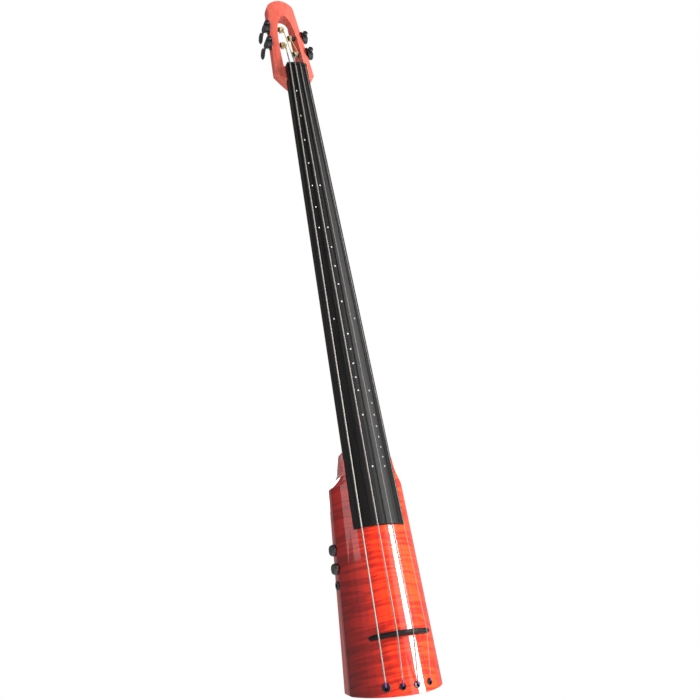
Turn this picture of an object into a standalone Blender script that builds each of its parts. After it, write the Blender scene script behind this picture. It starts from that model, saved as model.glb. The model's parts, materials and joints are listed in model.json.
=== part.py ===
# Upright electric double bass, solid body, four strings, slotted head.
# Sizes are millimetres in the string frame: x to the right seen from the front, "deep" away from
# the player's strings, "up" along the strings from the bridge. The last step turns them into metres
# round the stand seat on the back.
import math

import bmesh
import bpy
from mathutils import Matrix, Vector

# Overall
SCALE_LENGTH = 1067.0
GAP = 0.3

# Seat for the stand on the back, level with the strings
SEAT_UP = 205.0
SEAT_DEEP = 66.5
SEAT_WIDTH = 50.0
SEAT_LENGTH = 60.0
INSERT_UP = 15.0
INSERT_RADIUS = 6.0
INSERT_BORE = 4.0
INSERT_LENGTH = 14.0

# Strings: lowest first
STRING_COUNT = 4
STRING_RADII = (1.4, 1.15, 0.95, 0.75)
NUT_SPACING = 9.98
BRIDGE_SPACING = 27.05
TAIL_SPACING = 24.1
NUT_ARCH = 68.6
BRIDGE_ARCH = 78.6

# Body
CROWN_AT_BRIDGE = 17.4
CROWN_SLOPE = 0.0295
ARCH_AT_BRIDGE = 80.9
ARCH_SLOPE = 0.037
HALF_WIDTH_AT_BRIDGE = 74.8
HALF_WIDTH_SLOPE = 0.0472
SHOULDER_UP = 245.3
COVE_X = 80.0
COVE_UP = 276.0
COVE_RADIUS = 35.0
BODY_TOP = 300.0
BODY_TOP_HALF_WIDTH = 41.5
SIDE_BACK_AT_BRIDGE = 89.0
SIDE_BACK_SLOPE = 0.127
BACK_CORNER = 8.0
HEEL_START = 250.0
HEEL_RISE = 0.0035
BOTTOM_UP = -91.4
BOTTOM_RAKE = 0.28
TOP_THICKNESS = 6.0
TOP_END = 286.0
TOP_GLUE = 0.8
EDGE_ROUND = 1.2

# Fingerboard
BOARD_END = 170.5
BOARD_HALF_END = 44.3
BOARD_HALF_NUT = 19.4
BOARD_ARCH = 68.6
BOARD_CROWN_END = 7.2
BOARD_CROWN_NUT = 2.2
BOARD_FLAT_END = 25.85
BOARD_FLAT_NUT = 23.05
BOARD_EDGE = 0.6

# Neck and head
NECK_DEPTH_BODY = 19.0
NECK_DEPTH_NUT = 15.5
TENON_END = 190.0
TENON_HALF = 30.0
HEAD_LENGTH = 182.0
HEAD_TILT = 0.1
HEAD_CROWN = 15.0
HEAD_THICKNESS = 24.0
HEAD_ARCH = 85.0
HEAD_HALF_WIDE = 39.1
HEAD_TAPER = 0.07
HEAD_TOP_RADIUS = 34.7
WING_UP = -6.0
WING_FRONT_IN = (19.4, -21.0)
WING_BACK_IN = (13.0, -40.0)
SLOT_START = 8.0
SLOT_TOP = 143.0
SLOT_HALF = 22.2
SLOT_BACK_HALF = 14.2
HEAD_ROUND = 1.2
NUT_LENGTH = 7.0
NUT_SEAT = 17.5

# Truss rod
ROD_RADIUS = 3.0
ROD_START = 322.0
ROD_UNDER = 6.5
ROD_NUT_RADIUS = 3.6
ROD_NUT_LENGTH = 12.0

# Bridge
BRIDGE_HALF = 50.5
BRIDGE_HALF_THICK = 4.0
BRIDGE_LIFT = 1.2
POST_X = 24.0
POST_RADIUS = 3.0
POST_END = 52.0
POST_SOCKET = 7.0
POST_INSERT_RADIUS = 5.0
POST_INSERT_LENGTH = 18.0
POST_ACCESS_RADIUS = 3.6

# Tail anchors: the outer pair and the inner pair stand at their own heights
TAIL_UP = (-74.3, -76.9, -76.9, -75.0)
ANCHOR_SCALE = (1.0, 0.8, 0.8, 0.8)
ANCHOR_BARREL = 5.6
ANCHOR_FLANGE = 6.9
ANCHOR_FLANGE_THICK = 1.2
ANCHOR_DEPTH = 11.0
ANCHOR_BALL = 2.8

# Tuning machines: string 1 to 4, with the side of the head and the height over the nut
TUNER_SIDE = (-1, -1, 1, 1)
TUNER_UP = (68.5, 110.5, 47.5, 89.5)
TUNER_UNDER_FACE = 10.0
TUNER_POST_LENGTH = 30.0
TUNER_POST_RADIUS = 4.0
TUNER_POST_PLAY = 0.1
TUNER_HEIGHT = 11.0
WHEEL_TEETH = 16
WHEEL_PITCH = 5.4
WHEEL_FACE = 4.0
WHEEL_OUT = 5.6
WORM_PITCH = 2.6
TOOTH_TALL = 0.5
TOOTH_ROOT = 0.65
WORM_LENGTH = 9.0
KEY_SHAFT = 2.2
KEY_PADDLE_BACK = 38.0
KEY_PADDLE_HALF = (2.8, 9.5, 12.0)
WINDING_TURNS = (2.25, 2.25, 2.25, 2.25)
WINDING_PLAY = 0.35

# Controls on the left side
CONTROL_DEEP = 64.0
KNOB_UP = (148.5, 118.5)
KNOB_RADIUS = 10.0
KNOB_HEIGHT = 7.5
SHAFT_RADIUS = 3.0
BUSHING_RADIUS = 4.0
POT_RADIUS = 8.0
POT_LENGTH = 9.0
JACK_UP = 93.0
JACK_DEEP = 70.0
JACK_RADIUS = 6.6
JACK_FLANGE = 7.6
JACK_BORE = 3.25
CAVITY_X = (-57.0, -8.0)
CAVITY_UP = (78.0, 165.0)
CAVITY_DEEP = 54.0
COVER_RIM = 4.0
COVER_THICK = 2.0


# Small tools

def clear_scene():
    for obj in list(bpy.data.objects):
        bpy.data.objects.remove(obj, do_unlink=True)


def make_object(name, points, faces):
    mesh = bpy.data.meshes.new(name)
    mesh.from_pydata([tuple(p) for p in points], [], faces)
    shape = bmesh.new()
    shape.from_mesh(mesh)
    bmesh.ops.remove_doubles(shape, verts=shape.verts, dist=1e-5)
    bmesh.ops.recalc_face_normals(shape, faces=shape.faces)
    shape.to_mesh(mesh)
    shape.free()
    obj = bpy.data.objects.new(name, mesh)
    bpy.context.scene.collection.objects.link(obj)
    return obj


def loft(name, rings, zip_ends=False):
    """A closed solid through rings of equal count. Crescent ends are zipped across, others are one face."""
    count = len(rings[0])
    points = [p for ring in rings for p in ring]
    faces = []
    for k in range(len(rings) - 1):
        for i in range(count):
            j = (i + 1) % count
            faces.append((k * count + i, k * count + j, (k + 1) * count + j, (k + 1) * count + i))
    for base in (0, (len(rings) - 1) * count):
        if zip_ends:
            for i in range(count // 2 - 1):
                faces.append((base + i, base + i + 1, base + count - 2 - i, base + count - 1 - i))
        else:
            faces.append(tuple(range(base, base + count)))
    return make_object(name, points, faces)


def frame_of(direction):
    """Two unit vectors square to a direction."""
    direction = direction.normalized()
    helper = Vector((1, 0, 0)) if abs(direction.x) < 0.9 else Vector((0, 0, 1))
    side = direction.cross(helper).normalized()
    return side, direction.cross(side).normalized()


def turned(name, profile, start, axis, sides=16):
    """A solid of revolution: profile holds (along, radius) from one end of the axis to the other."""
    axis = Vector(axis).normalized()
    side, other = frame_of(axis)
    start = Vector(start)
    rings = []
    for along, radius in profile:
        ring = []
        for i in range(sides):
            angle = math.tau * i / sides
            ring.append(start + axis * along + (side * math.cos(angle) + other * math.sin(angle)) * radius)
        rings.append(ring)
    return loft(name, rings)


def cylinder(name, start, axis, length, radius, sides=16):
    return turned(name, [(0, radius), (length, radius)], start, axis, sides)


def sweep(name, points, radii, sides=6):
    """A round tube along points, with its cross-section carried along without twist."""
    points = [Vector(p) for p in points]
    side, other = frame_of(points[1] - points[0])
    rings = []
    for k, point in enumerate(points):
        before = points[max(k - 1, 0)]
        after = points[min(k + 1, len(points) - 1)]
        direction = (after - before).normalized()
        side = (side - direction * side.dot(direction)).normalized()
        other = direction.cross(side)
        ring = []
        for i in range(sides):
            angle = math.tau * i / sides
            ring.append(point + (side * math.cos(angle) + other * math.sin(angle)) * radii[k])
        rings.append(ring)
    return loft(name, rings)


def prism(name, outline, near, far):
    """An outline of (x, up) pushed from one depth to another; the depths may be functions of (x, up)."""
    def ring(depth):
        return [Vector((x, depth(x, up) if callable(depth) else depth, up)) for x, up in outline]
    return loft(name, [ring(near), ring(far)])


def rounded_box_outline(x0, x1, up0, up1, radius, steps=4):
    outline = []
    corners = ((x1 - radius, up1 - radius, 0), (x0 + radius, up1 - radius, 90),
               (x0 + radius, up0 + radius, 180), (x1 - radius, up0 + radius, 270))
    for cx, cu, first in corners:
        for k in range(steps + 1):
            angle = math.radians(first + 90 * k / steps)
            outline.append((cx + radius * math.cos(angle), cu + radius * math.sin(angle)))
    return outline


def combine(target, others, operation="DIFFERENCE"):
    """Cuts, joins or trims the target with the other solids, and removes them."""
    for other in others:
        modifier = target.modifiers.new("combine", "BOOLEAN")
        modifier.object = other
        modifier.operation = operation
        modifier.solver = "EXACT"
    bpy.context.view_layer.update()
    evaluated = target.evaluated_get(bpy.context.evaluated_depsgraph_get())
    mesh = bpy.data.meshes.new_from_object(evaluated)
    target.modifiers.clear()
    old = target.data
    target.data = mesh
    bpy.data.meshes.remove(old)
    for other in others:
        bpy.data.objects.remove(other, do_unlink=True)
    return target


def bevel_edges(obj, width, angle=35.0, segments=2):
    modifier = obj.modifiers.new("edges", "BEVEL")
    modifier.width = width
    modifier.segments = segments
    modifier.limit_method = "ANGLE"
    modifier.angle_limit = math.radians(angle)
    return combine(obj, [])


def material(name, colour, roughness, metallic=0.0):
    found = bpy.data.materials.get(name)
    if found:
        return found
    made = bpy.data.materials.new(name)
    made.use_nodes = True
    shader = made.node_tree.nodes["Principled BSDF"]
    shader.inputs["Base Color"].default_value = (*colour, 1.0)
    shader.inputs["Roughness"].default_value = roughness
    shader.inputs["Metallic"].default_value = metallic
    made.diffuse_color = (*colour, 1.0)
    return made


def finish(obj, finish_material, pivot=(0.0, 0.0, 0.0), smooth_angle=35.0):
    """Puts the origin on the pivot, scales to metres round the stand seat and shades the solid."""
    pivot = Vector(pivot)
    seat = Vector((0.0, SEAT_DEEP, SEAT_UP))
    obj.data.transform(Matrix.Translation(-pivot))
    obj.data.transform(Matrix.Scale(0.001, 4))
    obj.location = (pivot - seat) * 0.001
    obj.data.materials.clear()
    obj.data.materials.append(finish_material)
    obj.data.shade_smooth()
    obj.data.set_sharp_from_angle(angle=math.radians(smooth_angle))
    return obj


def mix(a, b, t):
    return a + (b - a) * t


# Shape of the arched front and of the outline

def crown(up):
    return CROWN_AT_BRIDGE - CROWN_SLOPE * up


def arch_radius(up):
    return ARCH_AT_BRIDGE - ARCH_SLOPE * up


def arch_drop(x, radius):
    return radius - math.sqrt(radius * radius - x * x)


def front_depth(x, up):
    return crown(up) + arch_drop(x, arch_radius(up))


def half_width(up):
    if up <= SHOULDER_UP:
        return HALF_WIDTH_AT_BRIDGE - HALF_WIDTH_SLOPE * up
    if up <= COVE_UP:
        return COVE_X - math.sqrt(COVE_RADIUS ** 2 - (up - COVE_UP) ** 2)
    return mix(COVE_X - COVE_RADIUS, BODY_TOP_HALF_WIDTH, (up - COVE_UP) / (BODY_TOP - COVE_UP))


def side_back(up):
    return SIDE_BACK_AT_BRIDGE - SIDE_BACK_SLOPE * up - HEEL_RISE * max(up - HEEL_START, 0.0) ** 2


def back_depth(up):
    return side_back(up) + BACK_CORNER


def bottom_up(deep):
    return BOTTOM_UP + BOTTOM_RAKE * (deep - crown(BOTTOM_UP))


ARCH_STEPS = 16
SIDE_STEPS = 1
CORNER_STEPS = 3
BACK_STEPS = 2


def arch_points(up, drop, inset):
    radius = arch_radius(up)
    edge = math.asin((half_width(up) - inset) / radius)
    points = []
    for i in range(ARCH_STEPS + 1):
        angle = mix(-edge, edge, i / ARCH_STEPS)
        points.append((radius * math.sin(angle), crown(up) + radius * (1 - math.cos(angle)) + drop))
    return points


def body_section(up, inset=0.0):
    """Arched front under the top plate, straight sides and a flat back with round corners."""
    points = arch_points(up, TOP_THICKNESS + TOP_GLUE + inset, inset)
    wide = half_width(up) - inset
    edge_deep = points[-1][1]
    right = []
    for i in range(1, SIDE_STEPS + 1):
        right.append((wide, mix(edge_deep, side_back(up) - inset, i / SIDE_STEPS)))
    for i in range(1, CORNER_STEPS + 1):
        angle = math.radians(90 * i / CORNER_STEPS)
        right.append((wide - BACK_CORNER + BACK_CORNER * math.cos(angle),
                      side_back(up) - inset + BACK_CORNER * math.sin(angle)))
    points += right
    flat = wide - BACK_CORNER
    for i in range(1, BACK_STEPS):
        points.append((mix(flat, -flat, i / BACK_STEPS), back_depth(up) - inset))
    points += [(-x, deep) for x, deep in reversed(right)]
    return points


def top_section(up, inset=0.0):
    """The arched plate: outer arch from left to right, then the inner arch back."""
    outer = arch_points(up, inset, inset)
    inner = arch_points(up, TOP_THICKNESS - inset, inset)
    return outer + inner[::-1]


def level_ring(section, up, inset=0.0):
    return [Vector((x, deep, up)) for x, deep in section(up, inset)]


def raked_ring(section, lift, inset=0.0):
    """The section's ring on the raked plane of the bottom end."""
    ring = []
    count = len(section(BOTTOM_UP, inset))
    for i in range(count):
        up = BOTTOM_UP + lift
        for _ in range(6):
            x, deep = section(up, inset)[i]
            up = bottom_up(deep) + lift
        ring.append(Vector((x, deep, up)))
    return ring


BODY_STATIONS = [-58, 0, 60, 120, 180, SHOULDER_UP, 248, 253, 260, 268, COVE_UP]


def station_rings(section, end):
    rings = [raked_ring(section, 0.0, EDGE_ROUND), raked_ring(section, EDGE_ROUND)]
    rings += [level_ring(section, up) for up in BODY_STATIONS]
    rings.append(level_ring(section, end - EDGE_ROUND))
    rings.append(level_ring(section, end, EDGE_ROUND))
    return rings


# Fingerboard and neck

def along_board(up):
    return (up - BOARD_END) / (SCALE_LENGTH - BOARD_END)


def board_half(up):
    return mix(BOARD_HALF_END, BOARD_HALF_NUT, along_board(up))


def board_crown(up):
    return mix(BOARD_CROWN_END, BOARD_CROWN_NUT, along_board(up))


def board_flat(up):
    return mix(BOARD_FLAT_END, BOARD_FLAT_NUT, along_board(up))


def board_ring(up, grow=0.0, inset=0.0):
    half = board_half(up) + grow - inset
    radius = BOARD_ARCH + grow
    edge = math.asin(half / radius)
    ring = []
    for i in range(ARCH_STEPS + 1):
        angle = mix(-edge, edge, i / ARCH_STEPS)
        ring.append(Vector((radius * math.sin(angle), board_crown(up) - grow + inset + radius * (1 - math.cos(angle)), up)))
    low = board_flat(up) + grow - inset
    for i in range(ARCH_STEPS + 1):
        ring.append(Vector((mix(half, -half, i / ARCH_STEPS), low, up)))
    return ring


def board_solid(name, grow=0.0):
    rings = [board_ring(BOARD_END - grow, grow, 0.0 if grow else BOARD_EDGE)]
    if not grow:
        rings.append(board_ring(BOARD_END + BOARD_EDGE))
    for k in range(1, 4):
        rings.append(board_ring(mix(BOARD_END, SCALE_LENGTH, k / 4), grow))
    rings.append(board_ring(SCALE_LENGTH + grow, grow))
    return loft(name, rings, zip_ends=True)


def neck_flat(up):
    return board_flat(up) + GAP


def neck_depth(up):
    return mix(NECK_DEPTH_BODY, NECK_DEPTH_NUT, (up - BODY_TOP) / (SCALE_LENGTH - BODY_TOP))


def neck_ring(up, half, depth, grow=0.0):
    """A round-backed section: flat under the fingerboard, an arc behind."""
    radius = (half * half + depth * depth) / (2 * depth)
    centre = neck_flat(up) + depth - radius
    half_angle = math.acos((radius - depth) / radius)
    ring = []
    for i in range(17):
        angle = mix(half_angle, -half_angle, i / 16)
        ring.append(Vector(((radius + grow) * math.sin(angle), centre + (radius + grow) * math.cos(angle), up)))
    ring[0] = Vector((half + grow, neck_flat(up) - grow, up))
    ring[-1] = Vector((-half - grow, neck_flat(up) - grow, up))
    for i in range(1, 9):
        ring.append(Vector((mix(-half, half, i / 9) * (half + grow) / half, neck_flat(up) - grow, up)))
    return ring


def neck_solid():
    shoulder = BODY_TOP + GAP
    rings = [neck_ring(TENON_END, TENON_HALF, NECK_DEPTH_BODY), neck_ring(shoulder, TENON_HALF, NECK_DEPTH_BODY)]
    top = SCALE_LENGTH + 5.0
    for k in range(6):
        up = mix(shoulder, top, k / 5)
        rings.append(neck_ring(up, board_half(up), neck_depth(up)))
    return loft("neck", rings)


def head_face(x, up):
    return HEAD_CROWN + HEAD_TILT * (up - SCALE_LENGTH)


def head_back(x, up):
    return head_face(x, up) + HEAD_THICKNESS


def head_half(over_nut):
    return HEAD_HALF_WIDE - HEAD_TAPER * (over_nut - WING_UP)


def head_outline(inner, low):
    """The head's outline over the nut, from its middle bottom round to the top and back."""
    centre = HEAD_LENGTH - HEAD_TOP_RADIUS
    corner = 168.0
    edge = math.atan2(head_half(corner), corner - centre)
    half = [(0.0, low), inner]
    for k in range(1, 5):
        half.append((mix(inner[0], head_half(WING_UP), k / 4), mix(inner[1], WING_UP, (k / 4) ** 1.2)))
    for up in (WING_UP + 40, WING_UP + 80, WING_UP + 120, corner - 4):
        half.append((head_half(up), up))
    for k in range(1, 10):
        angle = mix(edge, 0.0, k / 10)
        half.append((HEAD_TOP_RADIUS * math.sin(angle), centre + HEAD_TOP_RADIUS * math.cos(angle)))
    left = [(-x, up) for x, up in reversed(half[1:])]
    return half + [(0.0, HEAD_LENGTH)] + left


def head_solid():
    front = [Vector((x, head_face(x, SCALE_LENGTH + up) - 2.0, SCALE_LENGTH + up))
             for x, up in head_outline(WING_FRONT_IN, WING_FRONT_IN[1] - 1.0)]
    back = [Vector((x, head_back(x, SCALE_LENGTH + up), SCALE_LENGTH + up))
            for x, up in head_outline(WING_BACK_IN, WING_BACK_IN[1] - 2.0)]
    head = loft("head", [front, back])
    rings = []
    for up in (SCALE_LENGTH - 80, SCALE_LENGTH + HEAD_LENGTH + 20):
        edge = math.radians(35)
        ring = []
        for i in range(21):
            angle = mix(-edge, edge, i / 20)
            ring.append(Vector((HEAD_ARCH * math.sin(angle),
                                head_face(0, up) + HEAD_ARCH * (1 - math.cos(angle)), up)))
        wide = HEAD_ARCH * math.sin(edge)
        ring += [Vector((wide, head_face(0, up) + 60, up)), Vector((-wide, head_face(0, up) + 60, up))]
        rings.append(ring)
    return combine(head, [loft("arch", rings)], "INTERSECT")


def slot_half(over_nut):
    """Half width of the string slot at the front, narrowing to a round top."""
    share = max(0.0, (over_nut - 20.0) / (SLOT_TOP - 20.0))
    return SLOT_HALF * math.sqrt(max(0.0, 1 - share ** 2.4))


def slot_back_half(over_nut):
    radius = SLOT_BACK_HALF
    above = max(0.0, over_nut - (SLOT_TOP - radius))
    return math.sqrt(max(0.0, radius * radius - above * above))


def slot_solid():
    stations = [SLOT_START, 30, 55, 80, 100, 114, 124, 132, 137, 140.5, 142.4]
    rings = []
    for half_at, depth_shift in ((slot_half, -8.0), (slot_back_half, HEAD_THICKNESS + 8.0)):
        right = []
        left = []
        for over in stations:
            front = slot_half(over)
            back = slot_back_half(over)
            slope = (back - front) / HEAD_THICKNESS
            half = front + slope * depth_shift if half_at is slot_half else back + slope * 8.0
            half = max(half, 0.6)
            up = SCALE_LENGTH + over
            right.append(Vector((half, head_face(0, up) + depth_shift, up)))
            left.append(Vector((-half, head_face(0, up) + depth_shift, up)))
        rings.append(right + left[::-1])
    return loft("slot", rings)


# Strings

def arch_place(index, spacing, radius):
    x = (index - (STRING_COUNT - 1) / 2) * spacing
    return x, arch_drop(x, radius)


def bridge_point(index):
    x, deep = arch_place(index, BRIDGE_SPACING, BRIDGE_ARCH)
    return Vector((x, deep, 0.0))


def nut_point(index):
    x, deep = arch_place(index, NUT_SPACING, NUT_ARCH)
    return Vector((x, deep, SCALE_LENGTH + GAP))


def tail_frame(index):
    """The anchor's place on the front and its inward axis."""
    x = (index - (STRING_COUNT - 1) / 2) * TAIL_SPACING
    up = TAIL_UP[index]
    angle = math.asin(x / arch_radius(up))
    inward = Vector((-math.sin(angle), math.cos(angle), 0.0))
    return Vector((x, front_depth(x, up), up)), inward


def tuner_axis(index):
    """The centre line of a string post: its side, depth and height."""
    up = SCALE_LENGTH + TUNER_UP[index]
    return TUNER_SIDE[index], head_face(0, up) + TUNER_UNDER_FACE, up


def head_wall(over_nut):
    return head_half(over_nut)


def post_tip(index):
    side, _, _ = tuner_axis(index)
    return side * (head_wall(TUNER_UP[index]) - TUNER_POST_LENGTH)


def winding_radius(index):
    return TUNER_POST_RADIUS + WINDING_PLAY + STRING_RADII[index]


def tail_route(index):
    """From the ball in its anchor, out of the key slot and round its rim."""
    place, inward = tail_frame(index)
    scale = ANCHOR_SCALE[index]
    radius = STRING_RADII[index]
    rise = Vector((0, 0, 1))
    lift = 1.2 * scale
    rim = radius + 0.6
    ball = place + inward * 6.0 * scale + rise * lift
    corner = place - inward * ANCHOR_FLANGE_THICK + rise * (lift + rim)
    target = bridge_point(index)
    turn = math.radians(75)
    for _ in range(8):
        end = corner - rise * rim * math.cos(turn) - inward * rim * math.sin(turn)
        ahead = target - end
        turn = math.atan2(ahead.dot(rise), -ahead.dot(inward))
    points = []
    for k in range(6):
        angle = turn * k / 5
        points.append(corner - rise * rim * math.cos(angle) - inward * rim * math.sin(angle))
    return ball, inward, points


def post_route(index):
    """Over the nut, down to the post and round it in a rising helix."""
    side, deep, up = tuner_axis(index)
    start = nut_point(index)
    around = winding_radius(index)
    pitch = 2 * STRING_RADII[index] + 0.5
    first_x = post_tip(index) + side * (1.6 + STRING_RADII[index] + 0.4)
    turns = WINDING_TURNS[index]
    meet = 0.0
    for _ in range(20):
        touch = Vector((first_x, deep - around * math.cos(meet), up + around * math.sin(meet)))
        ahead = touch - start
        meet = math.atan2(ahead.y, ahead.z)
    points = []
    steps = int(24 * turns)
    for k in range(steps + 1):
        angle = meet + math.tau * turns * k / steps
        x = first_x + side * pitch * turns * k / steps
        points.append(Vector((x, deep - around * math.cos(angle), up + around * math.sin(angle))))
    return points


def string_route(index):
    """All points of one string with a radius at each; the ball at its end is part of it."""
    radius = STRING_RADII[index]
    ball_radius = ANCHOR_BALL * ANCHOR_SCALE[index]
    ball, inward, tail = tail_route(index)
    points = []
    radii = []
    for k in range(9):
        angle = math.pi * (k + 0.35) / 9.7
        points.append(ball + inward * ball_radius * math.cos(angle))
        radii.append(max(ball_radius * math.sin(angle), 0.35))
    keep = [k for k in range(9) if k < 5 or radii[k] > radius]
    points = [points[k] for k in keep]
    radii = [radii[k] for k in keep]
    bridge = bridge_point(index)
    nut = nut_point(index)
    route = list(tail)
    route += [tail[-1].lerp(bridge, 0.5)]
    for up, sag in ((-5.0, 0.0), (-2.5, -0.1), (0.0, 0.0)):
        share = (up - tail[-1].z) / (bridge.z - tail[-1].z)
        route.append(tail[-1].lerp(bridge, share) + Vector((0, sag * 0.0, 0)))
    for share in (0.004, 0.05, 0.16, 0.3, 0.5, 0.7, 0.85, 0.95, 0.996):
        route.append(bridge.lerp(nut, share))
    post = post_route(index)
    route.append(nut)
    route.append(nut.lerp(post[0], 0.04))
    route.append(nut.lerp(post[0], 0.2))
    route.append(nut.lerp(post[0], 0.5))
    route += post
    return points + route, radii + [radius] * len(route)


def string_solid(index, name, grow=0.0, low=None, high=None):
    """The whole string, or a fatter stretch of it that cuts its groove."""
    points, radii = string_route(index)
    sides = 6
    if low is not None:
        chosen = [k for k, p in enumerate(points) if low <= p.z <= high and radii[k] == STRING_RADII[index]]
        points = [points[k] for k in chosen]
        radii = [radii[k] + grow for k in chosen]
        sides = 12
    return sweep(name, points, radii, sides)


def winding_least_gap(index):
    """Least gap between turns of one winding, measured on its points."""
    points = post_route(index)
    radius = STRING_RADII[index]
    least = 1e9
    for a in range(len(points)):
        for b in range(a + 12, len(points)):
            least = min(least, (points[a] - points[b]).length - 2 * radius)
    return least


# Sub-parts

def make_top_plate(wood):
    plate = loft("top_plate", station_rings(top_section, TOP_END), zip_ends=True)
    cutters = [board_solid("cut", GAP)]
    for index in range(STRING_COUNT):
        cutters.append(anchor_bore(index))
    for x in (-POST_X, POST_X):
        cutters.append(cylinder("cut", (x, 0, 0), (0, 1, 0), 60, POST_RADIUS + 0.6))
    combine(plate, cutters)
    combine(plate, control_bores())
    return finish(plate, wood)


def anchor_bore(index):
    place, inward = tail_frame(index)
    scale = ANCHOR_SCALE[index]
    return cylinder("cut", place - inward * 6, inward, 6 + (ANCHOR_DEPTH + 0.6) * scale,
                    ANCHOR_BARREL * scale + GAP, 16)


def cavity_outline(rim=0.0, radius=6.0):
    return rounded_box_outline(CAVITY_X[0] - rim, CAVITY_X[1] + rim, CAVITY_UP[0] - rim, CAVITY_UP[1] + rim, radius)


def control_bores():
    """The two knob bushings' holes and the jack's, through the left wall."""
    bores = [cylinder("cut", (-90, CONTROL_DEEP, up), (1, 0, 0), 40, BUSHING_RADIUS + GAP, 16) for up in KNOB_UP]
    bores.append(cylinder("cut", (-90, JACK_DEEP, JACK_UP), (1, 0, 0), 40, JACK_RADIUS + GAP, 20))
    return bores


def make_body(wood):
    body = loft("body", station_rings(body_section, BODY_TOP))
    cutters = [board_solid("cut", GAP)]
    rings = [neck_ring(TENON_END - GAP, TENON_HALF, NECK_DEPTH_BODY, GAP),
             neck_ring(BODY_TOP + 5, TENON_HALF, NECK_DEPTH_BODY, GAP)]
    cutters.append(loft("cut", rings))
    for index in range(STRING_COUNT):
        cutters.append(anchor_bore(index))
    for x in (-POST_X, POST_X):
        start = insert_start(x)
        cutters.append(cylinder("cut", (x, 0, 0), (0, 1, 0), start + POST_INSERT_LENGTH + GAP,
                                POST_INSERT_RADIUS + GAP))
        cutters.append(cylinder("cut", (x, start, 0), (0, 1, 0), 100, POST_ACCESS_RADIUS, 12))
    combine(body, cutters)
    cutters = [prism("cut", cavity_outline(), CAVITY_DEEP, 120.0),
               prism("cut", cavity_outline(COVER_RIM, 8.0), lambda x, up: back_depth(up) - COVER_THICK - GAP, 120.0)]
    seat = rounded_box_outline(-SEAT_WIDTH / 2, SEAT_WIDTH / 2, SEAT_UP - SEAT_LENGTH / 2,
                               SEAT_UP + SEAT_LENGTH / 2, 8.0)
    cutters.append(prism("cut", seat, SEAT_DEEP, 120.0))
    cutters.append(cylinder("cut", (0, SEAT_DEEP - INSERT_LENGTH - 2, SEAT_UP + INSERT_UP), (0, 1, 0),
                            INSERT_LENGTH + 4, INSERT_RADIUS + GAP))
    combine(body, cutters + control_bores())
    return finish(body, wood)


def make_fingerboard(ebony):
    return finish(board_solid("fingerboard"), ebony)


def rod_point(up, under=ROD_UNDER):
    return Vector((0, neck_flat(up) + under, up))


def make_neck(wood):
    neck = neck_solid()
    combine(neck, [head_solid()], "UNION")
    cutters = [slot_solid(), board_solid("cut", GAP)]
    cutters.append(prism("cut", [(-BOARD_HALF_NUT - GAP, SCALE_LENGTH - 1), (BOARD_HALF_NUT + GAP, SCALE_LENGTH - 1),
                                 (BOARD_HALF_NUT + GAP, SCALE_LENGTH + SLOT_START + 0.4),
                                 (-BOARD_HALF_NUT - GAP, SCALE_LENGTH + SLOT_START + 0.4)], -10, NUT_SEAT))
    for index in range(STRING_COUNT):
        side, deep, up = tuner_axis(index)
        tip = post_tip(index)
        cutters.append(cylinder("cut", (tip, deep, up), (side, 0, 0), TUNER_POST_LENGTH + 12,
                                TUNER_POST_RADIUS + TUNER_POST_PLAY, 16))
    end = SCALE_LENGTH + SLOT_START
    cutters.append(sweep("cut", [rod_point(ROD_START - GAP), rod_point(end)],
                         [ROD_RADIUS + GAP] * 2, 16))
    cutters.append(sweep("cut", [rod_point(end - ROD_NUT_LENGTH - GAP), rod_point(end + 2)],
                         [ROD_NUT_RADIUS + 1.2] * 2, 16))
    combine(neck, cutters)
    return finish(neck, wood)


def make_truss_rod(steel, brass):
    end = SCALE_LENGTH + SLOT_START
    thread_end = end - 3.0
    shoulder = end - ROD_NUT_LENGTH - 0.5
    thin = ROD_RADIUS - 1.0
    rod = sweep("truss_rod", [rod_point(ROD_START), rod_point(shoulder), rod_point(shoulder + 0.2),
                              rod_point(thread_end)], [ROD_RADIUS, ROD_RADIUS, thin, thin], 16)
    nut = sweep("truss_nut", [rod_point(end - ROD_NUT_LENGTH), rod_point(end - 1.0), rod_point(end)],
                [ROD_NUT_RADIUS, ROD_NUT_RADIUS, ROD_NUT_RADIUS - 0.6], 16)
    bore = sweep("cut", [rod_point(end - ROD_NUT_LENGTH - 2), rod_point(thread_end + 0.5)],
                 [ROD_RADIUS - 1.0 + GAP] * 2, 16)
    combine(nut, [bore])
    finish(rod, steel)
    finish(nut, brass)


def make_nut(ebony):
    length = NUT_LENGTH
    start = SCALE_LENGTH + GAP
    rings = []
    for share, drop in ((0.0, 0.25), (0.04, 0.0), (0.3, 0.15), (0.7, 1.0), (1.0, 2.2)):
        ring = []
        half = BOARD_HALF_NUT - 0.2
        for i in range(13):
            x = mix(-half, half, i / 12)
            ring.append(Vector((x, arch_drop(x, NUT_ARCH) + drop, start + length * share)))
        for i in range(13):
            x = mix(half, -half, i / 12)
            ring.append(Vector((x, NUT_SEAT - GAP, start + length * share)))
        rings.append(ring)
    nut = loft("nut", rings, zip_ends=True)
    for index in range(STRING_COUNT):
        groove = string_solid(index, "cut", GAP, SCALE_LENGTH - 60, SCALE_LENGTH + 40)
        combine(nut, [groove])
    return finish(nut, ebony)


def bridge_underside(x):
    radius = ARCH_AT_BRIDGE + BRIDGE_LIFT
    return CROWN_AT_BRIDGE - BRIDGE_LIFT + arch_drop(x, radius)


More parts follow.
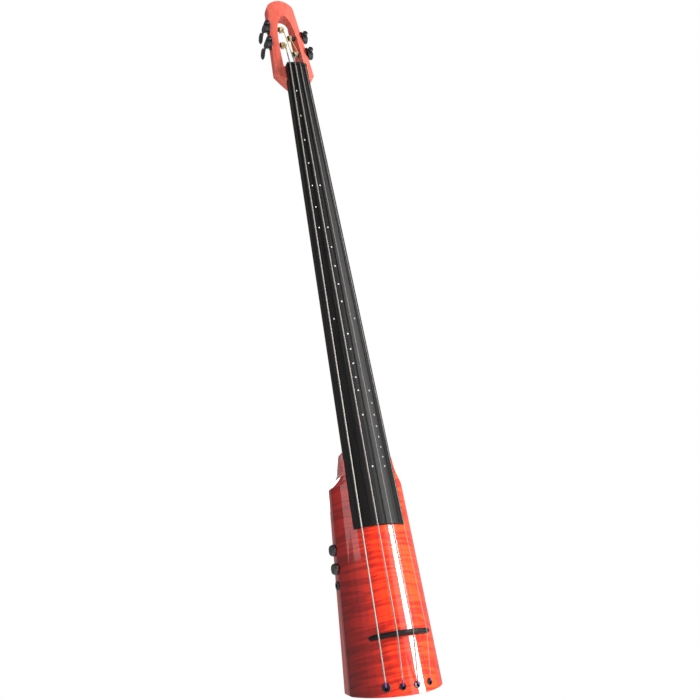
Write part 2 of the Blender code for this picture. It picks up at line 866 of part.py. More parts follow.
def make_bridge(ebony):
    """A bar that follows the arch, with a round crest, round ends and two sockets below."""
    rings = []
    ends = (0.0, 0.02, 0.05, 0.1)
    stations = [-1 + 2 * e for e in ends] + [mix(-0.7, 0.7, k / 6) for k in range(7)] + [1 - 2 * e for e in reversed(ends)]
    for s in stations:
        x = s * BRIDGE_HALF
        closing = max(0.0, (abs(s) - 0.8) / 0.2)
        round_end = math.sqrt(max(0.0, 1 - closing ** 2))
        shape = 0.28 + 0.72 * round_end
        crest = arch_drop(x, BRIDGE_ARCH)
        under = bridge_underside(x)
        middle = mix(crest, under, 0.62)
        crest = mix(middle, crest, shape)
        under = mix(middle, under, shape)
        half = BRIDGE_HALF_THICK * (0.35 + 0.65 * round_end)
        tall = under - crest
        profile = ((0.0, 0.0), (0.45, 0.02), (0.8, 0.09), (0.97, 0.22), (1.0, 0.4), (1.0, 0.94), (0.93, 1.0))
        right = [Vector((x, crest + tall * b, half * a)) for a, b in profile]
        left = [Vector((x, crest + tall * b, -half * a)) for a, b in reversed(profile[1:])]
        rings.append(right + left)
    bar = loft("bridge", rings)
    for index in range(STRING_COUNT):
        combine(bar, [string_solid(index, "cut", GAP, -60, 60)])
    sockets = []
    for x in (-POST_X, POST_X):
        sockets.append(cylinder("cut", (x, post_start(x) - GAP, 0), (0, 1, 0), 40, POST_RADIUS + GAP, 12))
    combine(bar, sockets)
    return finish(bar, ebony)


def post_start(x):
    return bridge_underside(x) - POST_SOCKET


def insert_start(x):
    return front_depth(x, 0) + TOP_THICKNESS + 3.0


def make_bridge_posts(steel, brass):
    for number, x in enumerate((-POST_X, POST_X), 1):
        start = post_start(x)
        length = POST_END - start
        post = turned(f"bridge_post_{number}", [(0, POST_RADIUS - 0.5), (0.5, POST_RADIUS), (length - 0.5, POST_RADIUS),
                                                (length, POST_RADIUS - 0.5)], (x, start, 0), (0, 1, 0), 12)
        key = cylinder("cut", (x, POST_END - 3.5, 0), (0, 1, 0), 8, 1.7, 6)
        combine(post, [key])
        finish(post, steel, (x, start, 0))
        first = insert_start(x)
        insert = turned(f"bridge_insert_{number}", [(0, POST_INSERT_RADIUS), (POST_INSERT_LENGTH, POST_INSERT_RADIUS)],
                        (x, first, 0), (0, 1, 0), 16)
        combine(insert, [cylinder("cut", (x, first - 1, 0), (0, 1, 0), POST_INSERT_LENGTH + 2, POST_RADIUS + GAP, 12)])
        finish(insert, brass, (x, first, 0))


def stadium(centre, across, rise, low, high, radius, inward, near, far, steps=4):
    """A slot-shaped cutter between two heights on the anchor's face."""
    outline = []
    for k in range(steps + 1):
        angle = math.pi * k / steps
        outline.append((radius * math.cos(angle), high + radius * math.sin(angle)))
    for k in range(steps + 1):
        angle = math.pi + math.pi * k / steps
        outline.append((radius * math.cos(angle), low + radius * math.sin(angle)))
    rings = []
    for depth in (near, far):
        rings.append([centre + inward * depth + across * a + rise * b for a, b in outline])
    return loft("cut", rings)


def make_anchor(index, metal):
    """A keyhole bushing: the ball drops into the round part and slides up behind the slot."""
    place, inward = tail_frame(index)
    scale = ANCHOR_SCALE[index]
    rise = Vector((0, 0, 1))
    across = rise.cross(inward).normalized()
    barrel = ANCHOR_BARREL * scale
    flange = ANCHOR_FLANGE * scale
    thick = ANCHOR_FLANGE_THICK
    lift = 0.75 * scale
    anchor = turned(f"string_anchor_{index + 1}",
                    [(-thick, flange - 0.5), (-thick + 0.4, flange), (-0.1 - lift * 0.2, flange), (-0.1 - lift * 0.2, barrel),
                     (ANCHOR_DEPTH * scale - 0.6, barrel), (ANCHOR_DEPTH * scale, barrel - 0.6)],
                    place, inward, 16)
    string = STRING_RADII[index]
    slot = string + 0.45
    entry = 3.2 * scale
    low = -1.9 * scale
    high = 1.2 * scale
    top = high + string + 0.6 - slot
    cutters = [stadium(place, across, rise, low - 0.1, low, entry, inward, -3, 4.0 * scale),
               stadium(place, across, rise, low, top, slot, inward, -3.5, 4.4 * scale),
               stadium(place, across, rise, low, high, entry + 0.05, inward, 2.4 * scale, 9.6 * scale)]
    for cutter in cutters:
        combine(anchor, [cutter])
    return finish(anchor, metal, place)


def make_strings(steel):
    for index in range(STRING_COUNT):
        string = string_solid(index, f"string_{index + 1}")
        finish(string, steel, bridge_point(index))
        print("string", index + 1, "least gap between turns", round(winding_least_gap(index), 3), "mm")


def tooth_height(phase):
    """A trapezoid tooth over one pitch: 1 on the tip, 0 in the root."""
    phase = abs((phase + 0.5) % 1.0 - 0.5)
    tip, foot = 0.12, 0.30
    if phase <= tip:
        return 1.0
    if phase >= foot:
        return 0.0
    return (foot - phase) / (foot - tip)


def worm_place(index):
    """The worm lies over its wheel, towards the top of the head, and runs from front to back."""
    side, deep, up = tuner_axis(index)
    x = side * (head_wall(TUNER_UP[index]) + WHEEL_OUT)
    return Vector((x, deep, up + WHEEL_PITCH + WORM_PITCH))


def make_tuner_post(index, metal):
    """String post, shaft through the head's wall and worm wheel, all in one."""
    side, deep, up = tuner_axis(index)
    tip = post_tip(index)
    wheel_x = side * (head_wall(TUNER_UP[index]) + WHEEL_OUT)
    axis = Vector((side, 0, 0))
    start = Vector((tip, deep, up))
    to_wheel = abs(wheel_x - tip) - WHEEL_FACE / 2
    radius = TUNER_POST_RADIUS
    profile = [(0, radius + 0.4), (0.4, radius + 0.9), (1.2, radius + 0.9), (1.6, radius), (to_wheel + 0.5, radius)]
    post = turned(f"tuner_post_{index + 1}", profile, start, axis, 16)
    lead = 2 * math.pi * WHEEL_PITCH / WHEEL_TEETH / (2 * math.pi * WORM_PITCH)
    rings = []
    corners = (-0.30, -0.12, 0.12, 0.30)
    for along in (-WHEEL_FACE / 2, WHEEL_FACE / 2):
        ring = []
        for i in range(WHEEL_TEETH * len(corners)):
            phase = i // len(corners) + 0.5 + corners[i % len(corners)] + 0.5
            angle = math.tau * (phase - 0.5) / WHEEL_TEETH
            reach = WHEEL_PITCH - TOOTH_ROOT + (TOOTH_TALL + TOOTH_ROOT) * tooth_height(phase)
            slant = lead * along / WHEEL_PITCH
            turn = angle + slant
            ring.append(Vector((wheel_x + along, deep - reach * math.sin(turn), up + reach * math.cos(turn))))
        rings.append(ring)
    wheel = loft("wheel", rings)
    combine(post, [wheel], "UNION")
    journal = turned("journal", [(0, 2.0), (WHEEL_FACE / 2 + 3.0, 2.0)], (wheel_x, deep, up), axis, 16)
    combine(post, [journal], "UNION")
    hole = cylinder("cut", (tip + side * 8.0, deep - 12, up), (0, 1, 0), 24, 1.2, 8)
    combine(post, [hole])
    return finish(post, metal, (tip, deep, up))


def make_tuner_key(index, metal):
    """Worm, shaft, collar and paddle in one turned and flattened shape."""
    side, _, _ = tuner_axis(index)
    centre = worm_place(index)
    pitch = 2 * math.pi * WHEEL_PITCH / WHEEL_TEETH
    half = WORM_LENGTH / 2
    sides = 10
    rings = []

    def add(deep, rx, rz):
        rings.append([centre + Vector((rx * math.sin(math.tau * i / sides), deep, rz * math.cos(math.tau * i / sides)))
                      for i in range(sides)])

    root = WORM_PITCH - TOOTH_ROOT
    add(-half - 1.6, root - 0.4, root - 0.4)
    add(-half - 1.2, root, root)
    steps = int(WORM_LENGTH / pitch * 5)
    for k in range(steps + 1):
        deep = mix(-half, half, k / steps)
        fade = min(1.0, 4 * (1 - abs(deep) / half))
        ring = []
        for i in range(sides):
            angle = math.tau * i / sides
            reach = root + (TOOTH_TALL + TOOTH_ROOT) * tooth_height(deep / pitch - angle / math.tau - 0.5) * fade
            ring.append(centre + Vector((reach * math.sin(angle), deep, reach * math.cos(angle))))
        rings.append(ring)
    collar = tuner_tail() + GAP
    for deep, radius in ((half + 0.6, KEY_SHAFT), (collar - 0.01, KEY_SHAFT), (collar, 3.6), (collar + 0.5, 4.2),
                         (collar + 2.0, 4.2), (collar + 2.6, 3.4), (collar + 4.5, 2.5), (collar + 9.0, 2.2)):
        add(deep, radius, radius)
    thick, long_half, wide = KEY_PADDLE_HALF
    middle = KEY_PADDLE_BACK
    for k in range(7):
        angle = math.pi * k / 7
        reach = math.sin(angle)
        if k == 0:
            continue
        deep = middle - long_half * math.cos(angle)
        swell = reach ** 0.7
        add(deep, 1.1 + (thick - 1.1) * reach ** 0.5, max(2.2, wide * swell))
    add(middle + long_half + 0.2, 0.9, 1.6)
    key = loft(f"tuner_key_{index + 1}", rings)
    return finish(key, metal, centre)


def tuner_tail():
    return 15.0


def make_tuner_housing(index, metal):
    """A cast shell on the side of the head: base, wheel drum and worm barrel."""
    side, deep, up = tuner_axis(index)
    worm = worm_place(index)
    over = TUNER_UP[index]
    wall = head_wall(over)

    def wall_x(z, out):
        return side * (wall - HEAD_TAPER * (z - up) + out)

    outline = []
    mid_up = up + 3.4
    for k in range(14):
        angle = math.tau * k / 14
        outline.append((deep + 1.0 + 11.0 * math.cos(angle), mid_up + 14.5 * math.sin(angle)))
    rings = []
    for out, shrink in ((GAP, 1.0), (1.6, 1.0), (2.0, 0.97)):
        ring = []
        for d, u in outline:
            z = mid_up + (u - mid_up) * shrink
            ring.append(Vector((wall_x(z, out), deep + 1.0 + (d - deep - 1.0) * shrink, z)))
        rings.append(ring)
    housing = loft(f"tuner_housing_{index + 1}", rings)
    drum = turned("drum", [(GAP + 0.9, 8.4), (TUNER_HEIGHT - 1.6, 8.4), (TUNER_HEIGHT - 0.5, 7.7), (TUNER_HEIGHT, 6.2)],
                  (side * wall, deep, up), (side, 0, 0), 16)
    combine(housing, [drum], "UNION")
    barrel = turned("barrel", [(-13.0, 3.6), (-12.0, 4.8), (-9.0, 5.3), (10.0, 5.3), (14.0, 4.8), (tuner_tail(), 4.4)],
                    worm, (0, 1, 0), 16)
    combine(housing, [barrel], "UNION")
    pocket = cylinder("cut", (side * (wall - 3), deep, up), (side, 0, 0), 3 + WHEEL_OUT + WHEEL_FACE / 2 + 0.5,
                      WHEEL_PITCH + TOOTH_TALL + 0.5, 20)
    combine(housing, [pocket])
    bore = turned("cut", [(-WORM_LENGTH / 2 - 2.2, 3.5), (WORM_LENGTH / 2 + 0.8, 3.5), (WORM_LENGTH / 2 + 0.9, KEY_SHAFT + 0.1),
                          (tuner_tail() + 3, KEY_SHAFT + 0.1)], worm, (0, 1, 0), 16)
    combine(housing, [bore])
    journal = cylinder("cut", (side * (wall + WHEEL_OUT), deep, up), (side, 0, 0), WHEEL_FACE / 2 + 3.2, 2.1, 16)
    combine(housing, [journal])
    return finish(housing, metal, (side * wall, deep, up))


def side_x(up):
    return -half_width(up)


def make_controls(plastic, metal):
    for number, up in enumerate(KNOB_UP, 1):
        wall = side_x(up)
        axis = (-1, 0, 0)
        knob = turned(f"knob_{number}", [(0.8, KNOB_RADIUS - 0.8), (1.2, KNOB_RADIUS - 0.2), (2.4, KNOB_RADIUS),
                                         (5.6, KNOB_RADIUS - 1.2), (KNOB_HEIGHT - 0.4, KNOB_RADIUS - 2.2),
                                         (KNOB_HEIGHT, KNOB_RADIUS - 2.8)], (wall, CONTROL_DEEP, up), axis, 24)
        combine(knob, [cylinder("cut", (wall + 4, CONTROL_DEEP, up), axis, 4 + 5.3, SHAFT_RADIUS + GAP, 16)])
        finish(knob, plastic, (wall, CONTROL_DEEP, up))
        inner = CAVITY_X[0] + GAP
        shaft = turned(f"control_shaft_{number}", [(0, SHAFT_RADIUS), (abs(wall - inner) + 4.6, SHAFT_RADIUS),
                                                   (abs(wall - inner) + 5.0, SHAFT_RADIUS - 0.4)],
                       (inner, CONTROL_DEEP, up), axis, 16)
        finish(shaft, metal, (wall, CONTROL_DEEP, up))
        pot = turned(f"control_pot_{number}", [(0, POT_RADIUS - 0.8), (0.8, POT_RADIUS), (POT_LENGTH, POT_RADIUS),
                                               (POT_LENGTH, BUSHING_RADIUS), (POT_LENGTH + abs(wall - inner) - 1.0, BUSHING_RADIUS)],
                     (inner + POT_LENGTH, CONTROL_DEEP, up), axis, 20)
        combine(pot, [cylinder("cut", (inner + GAP, CONTROL_DEEP, up), axis, 40, SHAFT_RADIUS + 0.1, 16)])
        finish(pot, metal, (wall, CONTROL_DEEP, up))


def make_jack(plastic):
    wall = side_x(JACK_UP)
    jack = turned("jack_socket", [(-1.5, JACK_FLANGE - 0.4), (-1.1, JACK_FLANGE), (-0.65, JACK_FLANGE),
                                  (-0.65, JACK_RADIUS), (30.0, JACK_RADIUS)], (wall, JACK_DEEP, JACK_UP), (1, 0, 0), 20)
    combine(jack, [cylinder("cut", (wall - 3, JACK_DEEP, JACK_UP), (1, 0, 0), 3 + 27, JACK_BORE, 16)])
    return finish(jack, plastic, (wall, JACK_DEEP, JACK_UP))


def make_cover(plastic):
    outline = cavity_outline(COVER_RIM - GAP, 8.0 - GAP)
    cover = prism("cavity_cover", outline, lambda x, up: back_depth(up) - COVER_THICK, lambda x, up: back_depth(up))
    return finish(cover, plastic)


def make_stand_insert(brass):
    centre = (0, SEAT_DEEP - 0.5, SEAT_UP + INSERT_UP)
    insert = turned("stand_insert", [(0, INSERT_RADIUS), (INSERT_LENGTH, INSERT_RADIUS)], centre, (0, -1, 0), 16)
    combine(insert, [cylinder("cut", (0, SEAT_DEEP + 2, SEAT_UP + INSERT_UP), (0, -1, 0), INSERT_LENGTH + 0.5, INSERT_BORE, 16)])
    return finish(insert, brass, centre)


def build():
    clear_scene()
    top_wood = material("flamed maple, red gloss", (0.55, 0.06, 0.02), 0.15)
    core_wood = material("maple core, red gloss", (0.33, 0.03, 0.02), 0.2)
    neck_wood = material("maple neck, satin red", (0.45, 0.07, 0.05), 0.45)
    ebony = material("ebony", (0.006, 0.006, 0.007), 0.4)
    steel = material("wound steel", (0.55, 0.53, 0.5), 0.3, 1.0)
    brass = material("brass", (0.75, 0.55, 0.25), 0.3, 1.0)
    black_metal = material("black plated metal", (0.02, 0.022, 0.028), 0.3, 1.0)
    black_plastic = material("black plastic", (0.01, 0.01, 0.011), 0.35)
    make_top_plate(top_wood)
    make_body(core_wood)
    make_fingerboard(ebony)
    make_neck(neck_wood)
    make_truss_rod(steel, brass)
    make_nut(ebony)
    make_bridge(ebony)
    make_bridge_posts(steel, brass)
    make_strings(steel)
    for index in range(STRING_COUNT):
        make_anchor(index, black_metal)
        make_tuner_housing(index, black_metal)
        make_tuner_post(index, black_metal)
        make_tuner_key(index, black_metal)
    make_controls(black_plastic, steel)
    make_jack(black_plastic)
    make_cover(black_plastic)
    make_stand_insert(brass)


build()
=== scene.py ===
import json
import math

import bmesh
import bpy
from mathutils import Matrix, Vector


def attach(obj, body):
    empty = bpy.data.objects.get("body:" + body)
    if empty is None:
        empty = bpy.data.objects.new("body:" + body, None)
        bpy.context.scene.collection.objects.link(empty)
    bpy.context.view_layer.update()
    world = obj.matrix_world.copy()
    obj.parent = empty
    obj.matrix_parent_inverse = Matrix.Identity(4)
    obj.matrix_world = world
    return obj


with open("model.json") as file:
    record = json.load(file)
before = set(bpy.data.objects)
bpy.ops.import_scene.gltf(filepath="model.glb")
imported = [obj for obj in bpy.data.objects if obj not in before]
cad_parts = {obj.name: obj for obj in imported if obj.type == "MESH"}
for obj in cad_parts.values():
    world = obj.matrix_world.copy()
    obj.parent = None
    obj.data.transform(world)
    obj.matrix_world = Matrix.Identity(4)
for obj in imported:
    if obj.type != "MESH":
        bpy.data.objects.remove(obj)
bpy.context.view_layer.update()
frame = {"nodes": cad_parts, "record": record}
nodes = frame["nodes"]

# Sizes in metres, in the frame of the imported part
SCALE_LENGTH = 1.067
SEAT_DEEP = 0.0665
SEAT_UP = 0.205
BOARD_END = 0.1705
BOARD_ARCH = 0.0686
BOARD_CROWN_END = 0.0072
BOARD_CROWN_NUT = 0.0022
STRING_SPACING_NUT = 0.00998
STRING_SPACING_BRIDGE = 0.02705
DOT_RADIUS = 0.00155
DOT_RISE = 0.00012
DOT_THICK = 4 * DOT_RISE
DOT_TAPER = 0.94
DOT_SIDES = 28
SEMITONES = 24
FLOOR_UP = -0.6
FLOOR_HALF = 80.0
SILK_LOW_END = -0.272
SILK_HIGH_START = 0.9
# Half-width across x of the burst ramp, which also carries painted shade on the left and a painted highlight
# right of centre
BURST_AND_SHADE_HALF = 0.078
WANDER = 0.012

CAMERA_PLACE = (-0.6538, -1.5721, -0.3889)
CAMERA_RIGHT = (0.9294, -0.3263, -0.1724)
CAMERA_ABOVE = (0.0260, -0.4081, 0.9126)
CAMERA_BACK = (-0.3681, -0.8526, -0.3708)
CAMERA_LENS = 53.70
CAMERA_SENSOR = 36.0
WORLD_LIGHT = 0.3
WORLD_SEEN = 1.0


# Materials: each one gets its own nodes, with all patterns in metres

class Shader:
    """A short way to write node trees."""

    def __init__(self, name):
        self.material = bpy.data.materials.new(name)
        self.material.use_nodes = True
        self.tree = self.material.node_tree
        self.surface = self.tree.nodes["Principled BSDF"]
        self.place = self.add("ShaderNodeTexCoord").outputs["Object"]

    def add(self, kind, inputs=None, **settings):
        node = self.tree.nodes.new(kind)
        for key, value in settings.items():
            setattr(node, key, value)
        for key, value in (inputs or {}).items():
            self.set(node.inputs[key], value)
        return node

    def set(self, socket, value):
        if isinstance(value, bpy.types.NodeSocket):
            self.tree.links.new(value, socket)
        else:
            socket.default_value = value

    def stretched(self, scale):
        return self.add("ShaderNodeMapping", {"Vector": self.place, "Scale": scale}).outputs["Vector"]

    def noise(self, scale, detail=3.0, roughness=0.5, stretch=(1, 1, 1)):
        settings = {"Vector": self.stretched(stretch), "Scale": scale, "Detail": detail,
                    "Roughness": roughness}
        return self.add("ShaderNodeTexNoise", settings).outputs["Fac"]

    def ramp(self, value, stops):
        node = self.add("ShaderNodeValToRGB", {"Fac": value})
        elements = node.color_ramp.elements
        while len(elements) < len(stops):
            elements.new(0.5)
        for element, (at, colour) in zip(elements, stops):
            element.position = at
            element.color = (*colour, 1.0)
        return node.outputs["Color"]

    def mixed(self, share, first, second, blend="MIX"):
        node = self.add("ShaderNodeMix", data_type="RGBA", blend_type=blend)
        colours = [socket for socket in node.inputs if socket.type == "RGBA"]
        self.set(node.inputs[0], share)
        self.set(colours[0], first)
        self.set(colours[1], second)
        return [socket for socket in node.outputs if socket.type == "RGBA"][0]

    def between(self, value, low, high):
        node = self.add("ShaderNodeMapRange", {"Value": value, "To Min": low, "To Max": high})
        return node.outputs["Result"]

    def bump(self, height, strength, distance=0.0003):
        node = self.add("ShaderNodeBump", {"Height": height, "Strength": strength, "Distance": distance})
        self.set(self.surface.inputs["Normal"], node.outputs["Normal"])

    def finish(self, colour, roughness, metallic=0.0, coat=0.0, coat_roughness=0.04):
        self.set(self.surface.inputs["Base Color"], colour)
        self.set(self.surface.inputs["Roughness"], roughness)
        self.set(self.surface.inputs["Metallic"], metallic)
        self.set(self.surface.inputs["Coat Weight"], coat)
        self.set(self.surface.inputs["Coat Roughness"], coat_roughness)
        return self.material


def flamed_maple():
    """Red burst gloss over figure that runs across the plate. The colour across x is partly a real burst with
    darker edges and partly painted light: painted shade on the left side and a painted highlight right of
    centre, where the lamp falls.
    """
    s = Shader("flamed maple")
    wander = s.noise(9.0, 2.0, stretch=(1.0, 1.0, 0.5))
    shifted = s.add("ShaderNodeVectorMath", {0: s.place}, operation="ADD")
    offset = s.add("ShaderNodeCombineXYZ", {"Z": s.between(wander, -WANDER, WANDER)}).outputs["Vector"]
    s.set(shifted.inputs[1], offset)
    slanted = s.add("ShaderNodeMapping", {"Vector": shifted.outputs["Vector"], "Scale": (14.0, 14.0, 210.0),
                                          "Rotation": (0.0, math.radians(6), 0.0)}).outputs["Vector"]
    bands = s.add("ShaderNodeTexNoise", {"Vector": slanted, "Scale": 1.0, "Detail": 2.0}).outputs["Fac"]
    fine = s.noise(1.0, 2.0, stretch=(900.0, 900.0, 25.0))
    across = s.add("ShaderNodeSeparateXYZ", {"Vector": s.place}).outputs["X"]
    # Colour across x: a real burst with darker edges, plus painted shade on the left and a painted highlight
    # right of centre where the lamp falls
    burst_and_shade = s.add("ShaderNodeMapRange", {"Value": across, "From Min": -BURST_AND_SHADE_HALF,
                                         "From Max": BURST_AND_SHADE_HALF})
    bright = s.ramp(burst_and_shade.outputs["Result"], ((0.0, (0.1, 0.002, 0.002)), (0.16, (0.34, 0.007, 0.004)),
                                              (0.42, (0.8, 0.035, 0.003)), (0.8, (0.95, 0.06, 0.004)),
                                              (0.94, (0.62, 0.018, 0.003)), (1.0, (0.13, 0.002, 0.002))))
    dark = s.mixed(1.0, bright, (0.58, 0.27, 0.27, 1.0), "MULTIPLY")
    flame = s.ramp(bands, ((0.42, (0.0, 0.0, 0.0)), (0.56, (1.0, 1.0, 1.0))))
    colour = s.mixed(flame, dark, bright)
    colour = s.mixed(s.between(fine, 0.0, 0.12), colour, (0.2, 0.005, 0.003, 1.0))
    s.bump(fine, 0.03, 0.0001)
    s.set(s.surface.inputs["Specular IOR Level"], 0.2)
    return s.finish(colour, s.between(bands, 0.28, 0.4), coat=1.0)


def gloss_core():
    """Paler red gloss on the sides and back, with long grain."""
    s = Shader("gloss maple side")
    grain = s.noise(1.0, 4.0, stretch=(160.0, 160.0, 7.0))
    cloud = s.noise(7.0, 2.0)
    colour = s.ramp(grain, ((0.3, (0.3, 0.012, 0.01)), (0.55, (0.46, 0.03, 0.02)),
                            (0.75, (0.36, 0.018, 0.014))))
    colour = s.mixed(s.between(cloud, 0.0, 0.35), colour, (0.16, 0.004, 0.004, 1.0))
    s.bump(grain, 0.04, 0.0001)
    return s.finish(colour, 0.3, coat=1.0, coat_roughness=0.06)


def satin_neck():
    s = Shader("satin maple neck")
    grain = s.noise(1.0, 5.0, stretch=(240.0, 240.0, 9.0))
    pores = s.noise(1.0, 2.0, stretch=(1500.0, 1500.0, 110.0))
    cloud = s.noise(12.0, 2.0)
    colour = s.ramp(grain, ((0.3, (0.36, 0.05, 0.03)), (0.55, (0.52, 0.09, 0.06)),
                            (0.78, (0.43, 0.066, 0.044))))
    colour = s.mixed(s.between(cloud, 0.0, 0.25), colour, (0.3, 0.03, 0.02, 1.0))
    s.bump(pores, 0.12, 0.0002)
    return s.finish(colour, s.between(pores, 0.42, 0.56))


def ebony():
    s = Shader("oiled ebony")
    grain = s.noise(1.0, 5.0, stretch=(420.0, 420.0, 12.0))
    pores = s.noise(1.0, 2.0, stretch=(2300.0, 2300.0, 130.0))
    colour = s.ramp(grain, ((0.35, (0.0025, 0.0024, 0.0026)), (0.6, (0.006, 0.0055, 0.0055)),
                            (0.8, (0.012, 0.009, 0.008))))
    s.bump(pores, 0.1, 0.0002)
    s.set(s.surface.inputs["Specular IOR Level"], 0.14)
    return s.finish(colour, s.between(pores, 0.4, 0.55))


def wound_string():
    """Flat ribbon winding: fine rings along the string, with silk at both ends."""
    s = Shader("wound string")
    up = s.add("ShaderNodeSeparateXYZ", {"Vector": s.place}).outputs["Z"]
    ribbon = s.add("ShaderNodeTexWave", {"Vector": s.place, "Scale": 260.0, "Distortion": 0.0},
                   bands_direction="Z").outputs["Fac"]
    dust = s.noise(60.0, 3.0)
    steel = s.mixed(s.between(dust, 0.0, 0.5), (0.2, 0.185, 0.17, 1.0), (0.13, 0.12, 0.11, 1.0))
    purple = s.mixed(ribbon, (0.1, 0.015, 0.12, 1.0), (0.2, 0.04, 0.22, 1.0))
    low_end = s.add("ShaderNodeMath", {0: up, 1: SILK_LOW_END}, operation="LESS_THAN").outputs["Value"]
    high_end = s.add("ShaderNodeMath", {0: up, 1: SILK_HIGH_START}, operation="GREATER_THAN").outputs["Value"]
    olive = s.mixed(ribbon, (0.33, 0.26, 0.1, 1.0), (0.5, 0.42, 0.22, 1.0))
    colour = s.mixed(low_end, s.mixed(high_end, steel, olive), purple)
    silk = s.add("ShaderNodeMath", {0: low_end, 1: high_end}, operation="MAXIMUM").outputs["Value"]
    s.bump(ribbon, 0.25, 0.00008)
    return s.finish(colour, s.between(silk, 0.5, 0.8), metallic=s.between(silk, 0.6, 0.0))


def turned_metal(name, colour, roughness):
    s = Shader(name)
    rings = s.noise(1.0, 3.0, stretch=(90.0, 2600.0, 90.0))
    smudge = s.noise(70.0, 3.0)
    tint = s.mixed(s.between(smudge, 0.0, 0.35), (*colour, 1.0), (*[c * 0.55 for c in colour], 1.0))
    s.bump(rings, 0.06, 0.00005)
    return s.finish(tint, s.between(smudge, roughness, roughness + 0.16), metallic=1.0)


def black_plated():
    s = Shader("black plated metal")
    grit = s.noise(2600.0, 2.0)
    wear = s.noise(140.0, 3.0)
    colour = s.mixed(s.between(wear, 0.0, 0.4), (0.012, 0.013, 0.016, 1.0), (0.03, 0.032, 0.037, 1.0))
    s.bump(grit, 0.1, 0.00005)
    return s.finish(colour, s.between(wear, 0.26, 0.42), metallic=0.55)


def black_plastic():
    s = Shader("moulded black plastic")
    grain = s.noise(1900.0, 2.0)
    cloud = s.noise(90.0, 2.0)
    colour = s.mixed(cloud, (0.008, 0.008, 0.009, 1.0), (0.016, 0.016, 0.017, 1.0))
    s.bump(grain, 0.14, 0.00006)
    return s.finish(colour, s.between(cloud, 0.34, 0.46))


def pearl():
    s = Shader("pearl inlay")
    swirl = s.noise(420.0, 3.0)
    colour = s.ramp(swirl, ((0.3, (0.3, 0.31, 0.3)), (0.55, (0.42, 0.42, 0.41)), (0.75, (0.36, 0.34, 0.37))))
    return s.finish(colour, 0.25, coat=0.6)


def plain_floor():
    s = Shader("pale floor")
    speck = s.noise(30.0, 2.0)
    colour = s.mixed(speck, (0.86, 0.86, 0.86, 1.0), (0.9, 0.9, 0.9, 1.0))
    s.set(s.surface.inputs["Emission Color"], (1.0, 1.0, 1.0, 1.0))
    s.set(s.surface.inputs["Emission Strength"], 0.6)
    return s.finish(colour, 0.9)


FINISHES = {
    "flamed_top": flamed_maple(),
    "core": gloss_core(),
    "neck_wood": satin_neck(),
    "ebony": ebony(),
    "string_steel": wound_string(),
    "steel": turned_metal("plain steel", (0.6, 0.6, 0.6), 0.25),
    "brass": turned_metal("turned brass", (0.78, 0.56, 0.24), 0.22),
    "black_metal": black_plated(),
    "black_plastic": black_plastic(),
}


def dress_nodes():
    for part in frame["record"]["subparts"]:
        node = nodes[part["node"]]
        finish = FINISHES[part["material_slot"]]
        if not node.material_slots:
            node.data.materials.append(finish)
        for place in node.material_slots:
            place.material = finish


# Position dots on the fingerboard

def board_point(x, up):
    """A point on the playing surface, up being the height over the bridge."""
    share = (up - BOARD_END) / (SCALE_LENGTH - BOARD_END)
    crown = BOARD_CROWN_END + (BOARD_CROWN_NUT - BOARD_CROWN_END) * share
    deep = crown + BOARD_ARCH - math.sqrt(BOARD_ARCH ** 2 - x ** 2)
    return Vector((x, deep - SEAT_DEEP, up - SEAT_UP))


def gap_middle(gap, up):
    """Middle of a gap between two strings at a height: gap 0 is between the two lowest."""
    spacing = STRING_SPACING_BRIDGE + (STRING_SPACING_NUT - STRING_SPACING_BRIDGE) * up / SCALE_LENGTH
    return (gap - 1) * spacing


def dot_gaps(semitone):
    """Which gaps carry a dot at a semitone."""
    if semitone in (5, 7):
        return (0, 1)
    if semitone == 12:
        return (0, 2)
    if semitone in (17, 19, 24):
        return (1, 2)
    if semitone < 7:
        return (0,)
    if semitone < 17:
        return (1,)
    return (2,)


def make_dots():
    shape = bmesh.new()
    for semitone in range(1, SEMITONES + 1):
        up = SCALE_LENGTH * 2 ** (-semitone / 12)
        for gap in dot_gaps(semitone):
            x = gap_middle(gap, up)
            centre = board_point(x, up)
            normal = Vector((-x, -math.sqrt(BOARD_ARCH ** 2 - x ** 2), 0.0)).normalized()
            turn = normal.to_track_quat("Z", "Y").to_matrix().to_4x4()
            place = Matrix.Translation(centre + normal * DOT_RISE) @ turn
            made = bmesh.ops.create_cone(shape, cap_ends=True, segments=DOT_SIDES, radius1=DOT_RADIUS,
                                         radius2=DOT_RADIUS * DOT_TAPER, depth=DOT_THICK, matrix=place)
            edges = [e for e in shape.edges if e.verts[0] in made["verts"] and e.calc_face_angle(0.0) > 0.8]
            bmesh.ops.bevel(shape, geom=edges, offset=DOT_RISE * 0.5, segments=1, affect="EDGES")
    mesh = bpy.data.meshes.new("position_dots")
    shape.to_mesh(mesh)
    shape.free()
    dots = bpy.data.objects.new("position_dots", mesh)
    bpy.context.scene.collection.objects.link(dots)
    mesh.materials.append(pearl())
    mesh.shade_smooth()
    mesh.set_sharp_from_angle(angle=math.radians(30))
    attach(dots, "instrument")


# Room, lights and camera

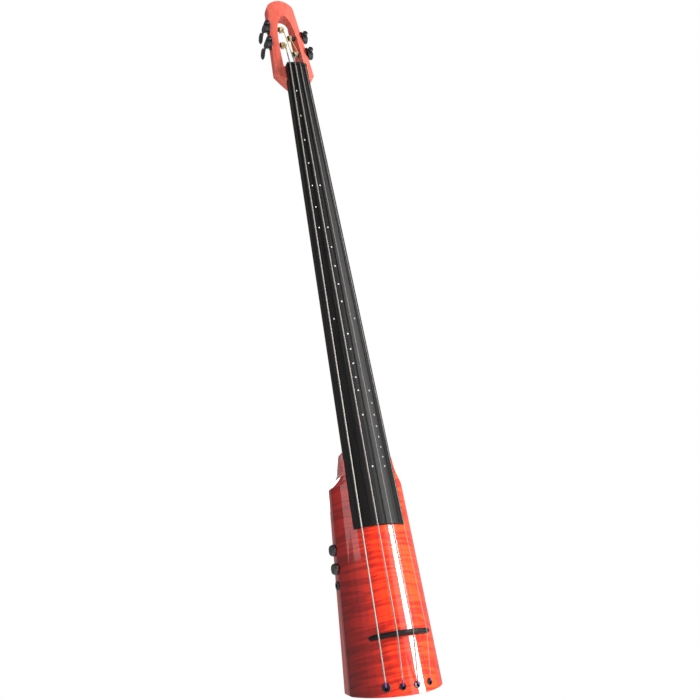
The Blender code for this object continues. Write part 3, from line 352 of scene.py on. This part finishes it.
def make_floor():
    shape = bmesh.new()
    level = Matrix.Translation((0, 0, FLOOR_UP))
    bmesh.ops.create_grid(shape, x_segments=8, y_segments=8, size=FLOOR_HALF, matrix=level)
    mesh = bpy.data.meshes.new("floor")
    shape.to_mesh(mesh)
    shape.free()
    floor = bpy.data.objects.new("floor", mesh)
    bpy.context.scene.collection.objects.link(floor)
    mesh.materials.append(plain_floor())


def area_light(name, place, target, width, height, power):
    data = bpy.data.lights.new(name, "AREA")
    data.shape = "RECTANGLE"
    data.size = width
    data.size_y = height
    data.energy = power
    lamp = bpy.data.objects.new(name, data)
    lamp.location = place
    lamp.rotation_euler = (Vector(target) - Vector(place)).to_track_quat("-Z", "Y").to_euler()
    lamp.visible_camera = False
    bpy.context.scene.collection.objects.link(lamp)


def make_world():
    """Soft pale light from all round, and pure white where the camera looks straight at it."""
    world = bpy.data.worlds.new("studio")
    bpy.context.scene.world = world
    world.use_nodes = True
    tree = world.node_tree
    background = tree.nodes["Background"]
    rays = tree.nodes.new("ShaderNodeLightPath")
    strength = tree.nodes.new("ShaderNodeMapRange")
    strength.inputs["To Min"].default_value = WORLD_LIGHT
    strength.inputs["To Max"].default_value = WORLD_SEEN
    tree.links.new(rays.outputs["Is Camera Ray"], strength.inputs["Value"])
    tree.links.new(strength.outputs["Result"], background.inputs["Strength"])
    background.inputs["Color"].default_value = (1.0, 1.0, 1.0, 1.0)


def make_camera():
    data = bpy.data.cameras.new("camera")
    data.lens = CAMERA_LENS
    data.sensor_width = CAMERA_SENSOR
    camera = bpy.data.objects.new("camera", data)
    columns = (CAMERA_RIGHT, CAMERA_ABOVE, CAMERA_BACK, CAMERA_PLACE)
    camera.matrix_world = Matrix([[column[row] for column in columns] for row in range(3)] + [[0, 0, 0, 1]])
    bpy.context.scene.collection.objects.link(camera)
    bpy.context.scene.camera = camera


make_camera()
make_world()
area_light("strip right", (1.56, -1.57, 0.1), (0.0, -0.05, 0.1), 0.62, 3.2, 190.0)
area_light("soft left", (-1.7, -1.3, 1.2), (0.0, 0.0, 0.2), 1.3, 2.0, 16.0)
area_light("back rim", (0.6, 1.8, 1.1), (0.0, 0.0, 0.3), 1.2, 1.2, 18.0)
make_floor()
dress_nodes()
make_dots()
bpy.context.scene.view_settings.view_transform = "Standard"
